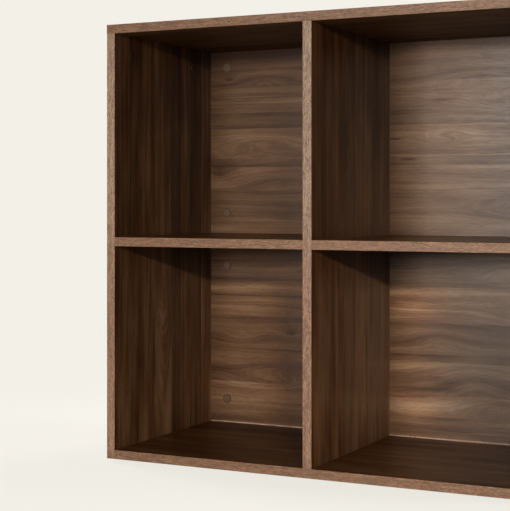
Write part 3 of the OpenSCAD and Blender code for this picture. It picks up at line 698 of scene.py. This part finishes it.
def rim(f, caps):
    """1 on the rims and 0 on the faces of four caps at the corners of a rectangle."""
    corners = [Vector(corner) for corner in caps.bound_box]
    half_wide = max(corner.x for corner in corners) - CAP_RADIUS
    low = min(corner.z for corner in corners) + CAP_RADIUS
    high = max(corner.z for corner in corners) - CAP_RADIUS
    off_x = f.add(f.math("ABSOLUTE", f.x), -half_wide)
    off_z = f.add(f.math("ABSOLUTE", f.add(f.z, -(low + high) / 2)), -(high - low) / 2)
    return f.span(f.distance(off_x, off_z), RIM_START, RIM_FULL)


def around(middle, reach):
    """A falling pair round a middle roughness: the raised texture is the smoother."""
    return middle + reach, middle - reach


def moulded(name, color, roughness=0.50, shine=0.50, caps=None):
    """Moulded plastic: one colour with a fine spark-eroded texture and faint flow marks."""
    f = Finish(name)
    fine = f.noise(f.place, scale=MOULD_STEPS, detail=2.0)
    flow = f.noise(f.place, scale=FLOW_STEPS, detail=2.0, distortion=0.6)
    pale = tuple(min(1.0, 1.16 * part) for part in color)
    deep = tuple(0.84 * part for part in color)
    shade = f.add(f.times(fine, 0.4), f.times(flow, 0.6))
    f.bump(fine, 0.3, MOULD_DEPTH)
    shown = f.ramp(shade, [(0.35, deep), (0.65, pale)])
    # Painted shade: the rim of each back cap is darkened where it meets the board.
    if caps:
        shown = f.tinted(shown, f.grey(f.span(rim(f, caps), 0.0, 1.0, 1.0, RIM_SHADE)))
    return f.finish(shown, f.span(fine, 0.3, 0.7, *around(roughness, 0.05)),
                    Specular_IOR_Level=shine)


shaded_cap = moulded("shaded_cap", SHADED_CAP_BROWN, shine=0.14)
upper_cap_brown = moulded("cap_upper_back", LIT_CAP_BROWN, shine=0.30,
                          caps=nodes["upper_back_caps"])
lower_cap_brown = moulded("cap_lower_back", LIT_CAP_BROWN, shine=0.30,
                          caps=nodes["lower_back_caps"])
dress(shaded_cap, "side_caps", "divider_caps", "left_shelf_caps", "right_shelf_caps")
dress(upper_cap_brown, "upper_back_caps")
dress(lower_cap_brown, "lower_back_caps")
print("caps dressed: 6")

# %% [markdown]
# ## Fittings
#
# Cams are cast in zinc, bolts and screws are plated steel, insert nuts are nylon, dowels are
# beech, and the glides are black plastic. Most of them are hidden, and one grey could do for
# all. But a board may be lifted away, so each gets its own finish: cast metal is dull and
# mottled, turned metal has finer marks and more shine, wood has grain.

# %% Metal, nylon, beech and glide plastic
TURNED = (900, 900, 900)         # tool marks, in steps per metre
CAST = (500, 500, 500)
BLOOM_STEPS = 160.0
METAL_DEPTH = 0.00008
BEECH_STEPS = (120, 700, 700)
BEECH_TONES = [(0.35, (0.42, 0.27, 0.14)), (0.65, (0.66, 0.48, 0.29))]


def metal(name, pale, deep, roughness, steps):
    """Plated or cast metal: bright and dull patches, and fine marks left by the tool."""
    f = Finish(name)
    marks = f.noise(f.stretched(steps), detail=3.0)
    bloom = f.noise(f.place, scale=BLOOM_STEPS, detail=2.0)
    shade = f.add(f.times(marks, 0.5), f.times(bloom, 0.5))
    f.bump(marks, 0.3, METAL_DEPTH)
    return f.finish(f.ramp(shade, [(0.35, deep), (0.65, pale)]),
                    f.span(bloom, 0.3, 0.7, *around(roughness, 0.08)), metallic=1.0)


glide_black = moulded("glide_black", (0.028, 0.027, 0.026))
nut_nylon = moulded("nut_nylon", (0.78, 0.75, 0.67), roughness=0.42)
cam_zinc = metal("cam_zinc", (0.60, 0.60, 0.61), (0.38, 0.38, 0.39), 0.46, CAST)
bolt_steel = metal("bolt_steel", (0.76, 0.75, 0.72), (0.56, 0.56, 0.55), 0.30, TURNED)
screw_steel = metal("screw_steel", (0.72, 0.72, 0.71), (0.50, 0.50, 0.50), 0.32, TURNED)

beech = Finish("dowel_beech")
fibres = beech.noise(beech.stretched(BEECH_STEPS), detail=3.0)
beech.bump(fibres, 0.4, GRAIN_DEPTH)
dowel_beech = beech.finish(beech.ramp(fibres, BEECH_TONES), 0.72)

dress(cam_zinc, "side_cams", "divider_cams", "left_shelf_cams", "right_shelf_cams",
      "upper_back_cams", "lower_back_cams", "bottom_panel_cams")
dress(bolt_steel, "top_panel_bolts", "bottom_panel_bolts", "left_side_bolts",
      "right_side_bolts", "double_bolts")
dress(nut_nylon, "top_panel_nuts", "bottom_panel_nuts", "left_side_nuts", "right_side_nuts")
dress(dowel_beech, "top_dowels", "bottom_dowels", "shelf_dowels", "back_dowels")
dress(screw_steel, "back_screws", "glide_nails")
dress(glide_black, "glides")
bare = [name for name, node in nodes.items()
        if not node.data.materials or not node.data.materials[0].use_nodes]
print("nodes without a finish:", bare)

# %% [markdown]
# ## Floor and backdrop
#
# The unit stands on a pale floor that curves up into a pale wall, with no corner line behind
# it. It could be two planes, but a line would show where they meet. One strip is extruded
# along a profile with a large radius, so floor and wall run into each other.

# %% The sweep
SWEEP_WIDTH = 16.0
SWEEP_FRONT = -9.0
SWEEP_BACK = 8.0
SWEEP_HEIGHT = 5.0
SWEEP_RADIUS = 1.5
CURVE_STEPS = 24
QUARTER_TURN = math.radians(90)

sweep = bmesh.new()
front_corners = [sweep.verts.new((x, SWEEP_FRONT, 0)) for x in (-SWEEP_WIDTH / 2, SWEEP_WIDTH / 2)]
edge = sweep.edges.new(front_corners)


def push(edge, step):
    pushed = bmesh.ops.extrude_edge_only(sweep, edges=[edge])["geom"]
    verts = [v for v in pushed if isinstance(v, bmesh.types.BMVert)]
    bmesh.ops.translate(sweep, vec=step, verts=verts)
    return [e for e in pushed if isinstance(e, bmesh.types.BMEdge)][0]


edge = push(edge, (0, SWEEP_BACK - SWEEP_RADIUS - SWEEP_FRONT, 0))
for step in range(CURVE_STEPS):
    start, end = (QUARTER_TURN * n / CURVE_STEPS for n in (step, step + 1))
    back = SWEEP_RADIUS * (math.sin(end) - math.sin(start))
    up = SWEEP_RADIUS * (math.cos(start) - math.cos(end))
    edge = push(edge, (0, back, up))
edge = push(edge, (0, 0, SWEEP_HEIGHT - SWEEP_RADIUS))
bmesh.ops.recalc_face_normals(sweep, faces=sweep.faces)
sweep_mesh = bpy.data.meshes.new("sweep")
sweep.to_mesh(sweep_mesh)
sweep.free()
for polygon in sweep_mesh.polygons:
    polygon.use_smooth = True
floor = bpy.data.objects.new("sweep", sweep_mesh)
bpy.context.collection.objects.link(floor)
print("sweep faces:", len(sweep_mesh.polygons))

# %% [markdown]
# ## Pale paper
#
# A studio backdrop is paper, lit until it looks even. Much light on it would also fall on the
# unit and bleach it. So to the eye, and in reflections, the paper glows with one even tone by
# itself. Only round the foot of the unit is part of that glow given up to real light, and
# there the shadow of the unit can be seen. Paper near a dark bay would also throw light back
# into it, so for that bounced light the paper counts as grey.

# %% The paper
PALE_WALL = (0.896, 0.871, 0.807)
PAPER_TONES = [(0.3, (0.80, 0.78, 0.74)), (0.7, (0.84, 0.82, 0.78))]
PAPER_BOUNCE = (0.24, 0.225, 0.20)
PAPER_STEPS = 300.0
FLOOR_SHADOW = 0.12              # share of real light on the floor at the unit
SHADOW_REACH = (0.45, 1.15)      # metres from the middle, over which that share runs out

wall = Finish("pale_paper")
rays = wall.new("ShaderNodeLightPath").outputs
mirrored = wall.math("MAXIMUM", rays["Is Glossy Ray"], rays["Is Transmission Ray"])
seen = wall.math("MAXIMUM", rays["Is Camera Ray"], mirrored)
plain = wall.span(wall.distance(wall.x, wall.y), *SHADOW_REACH, 1.0 - FLOOR_SHADOW, 1.0)
pale_paper = wall.ramp(wall.noise(wall.place, scale=PAPER_STEPS, detail=2.0), PAPER_TONES)
wall.finish(wall.mix(seen, PAPER_BOUNCE, pale_paper), 0.9)
glow = wall.new("ShaderNodeEmission")
glow.inputs["Color"].default_value = (*PALE_WALL, 1.0)
blend = wall.new("ShaderNodeMixShader", Fac=wall.times(seen, plain))
wall.feed(blend.inputs[1], wall.shader.outputs[0])
wall.feed(blend.inputs[2], glow.outputs[0])
wall.feed(wall.tree.nodes["Material Output"].inputs["Surface"], blend.outputs[0])
sweep_mesh.materials.append(wall.material)
print("paper tone:", PALE_WALL)

# %% [markdown]
# ## Light
#
# One large soft lamp stands far in front and a little above the unit, so the shelves throw
# short soft shadows on the back boards. A second, small and warm lamp shines in from the right.
# It reaches the inner faces that the first one only grazes, and because it is small it draws
# the crisp slanting shadow under each shelf. One broad lamp could light everything evenly, but
# then the bays would look flat. Three more lamps high at the back and sides never shine into
# the bays: they are there so that the outer faces can be judged as well.

# %% Lamps
# Each lamp: place, aim, watts, size, colour, spread in degrees
LAMPS = {
    "key": ((-0.32, -5.70, 0.88), (0.0, 0.0, 0.42), 195.0, (1.75, 0.6),
            (1.0, 0.975, 0.935), 180.0),
    "side": ((1.70, -2.90, 0.97), (0.05, 0.1, 0.08), 1.9, (0.4, 0.07),
             (1.0, 0.84, 0.66), 34.0),
}
REAR_WATTS = 46.0
REAR_PLACES = {"rear": (0.8, 3.8, 2.9), "far_left": (-3.8, 0.9, 2.7), "far_right": (3.8, 0.9, 2.7)}
for name, place in REAR_PLACES.items():
    LAMPS[name] = (place, (0.0, 0.0, 0.40), REAR_WATTS, (1.4, 1.0), (1.0, 0.97, 0.93), 90.0)


def soft_lamp(name, place, aim, watts, size, color, spread):
    data = bpy.data.lights.new(name, "AREA")
    data.shape = "RECTANGLE"
    data.size, data.size_y = size
    data.energy = watts
    data.color = color
    data.spread = math.radians(spread)
    lamp = bpy.data.objects.new(name, data)
    bpy.context.collection.objects.link(lamp)
    lamp.location = place
    lamp.rotation_euler = (Vector(aim) - Vector(place)).to_track_quat("-Z", "Y").to_euler()


for name, settings in LAMPS.items():
    soft_lamp(name, *settings)
print("lamps:", *LAMPS)

# %% [markdown]
# ## The room
#
# Past the end of the sweep the eye meets the room itself. It could be left black, but then dark
# patches would show in the satin faces. The world shows the colour of the wall to the eye and
# in reflections, and gives only a faint warm glow as light.

# %% World
ROOM_GLOW = 0.01
ROOM_TINT = (1.0, 0.90, 0.78)
world = bpy.data.worlds.new("studio")
world.use_nodes = True
room = world.node_tree
light_path = room.nodes.new("ShaderNodeLightPath").outputs
either, both = (room.nodes.new("ShaderNodeMath") for _ in range(2))
either.operation = both.operation = "MAXIMUM"
shown = room.nodes.new("ShaderNodeMix")
shown.data_type = "RGBA"
room.links.new(light_path["Is Camera Ray"], either.inputs[0])
room.links.new(light_path["Is Glossy Ray"], either.inputs[1])
room.links.new(either.outputs[0], both.inputs[0])
room.links.new(light_path["Is Transmission Ray"], both.inputs[1])
room.links.new(both.outputs[0], shown.inputs["Factor"])
shown.inputs["A"].default_value = (*[ROOM_GLOW * part for part in ROOM_TINT], 1.0)
shown.inputs["B"].default_value = (*PALE_WALL, 1.0)
room.links.new(shown.outputs["Result"], room.nodes["Background"].inputs["Color"])
bpy.context.scene.world = world
print("room glow:", ROOM_GLOW)
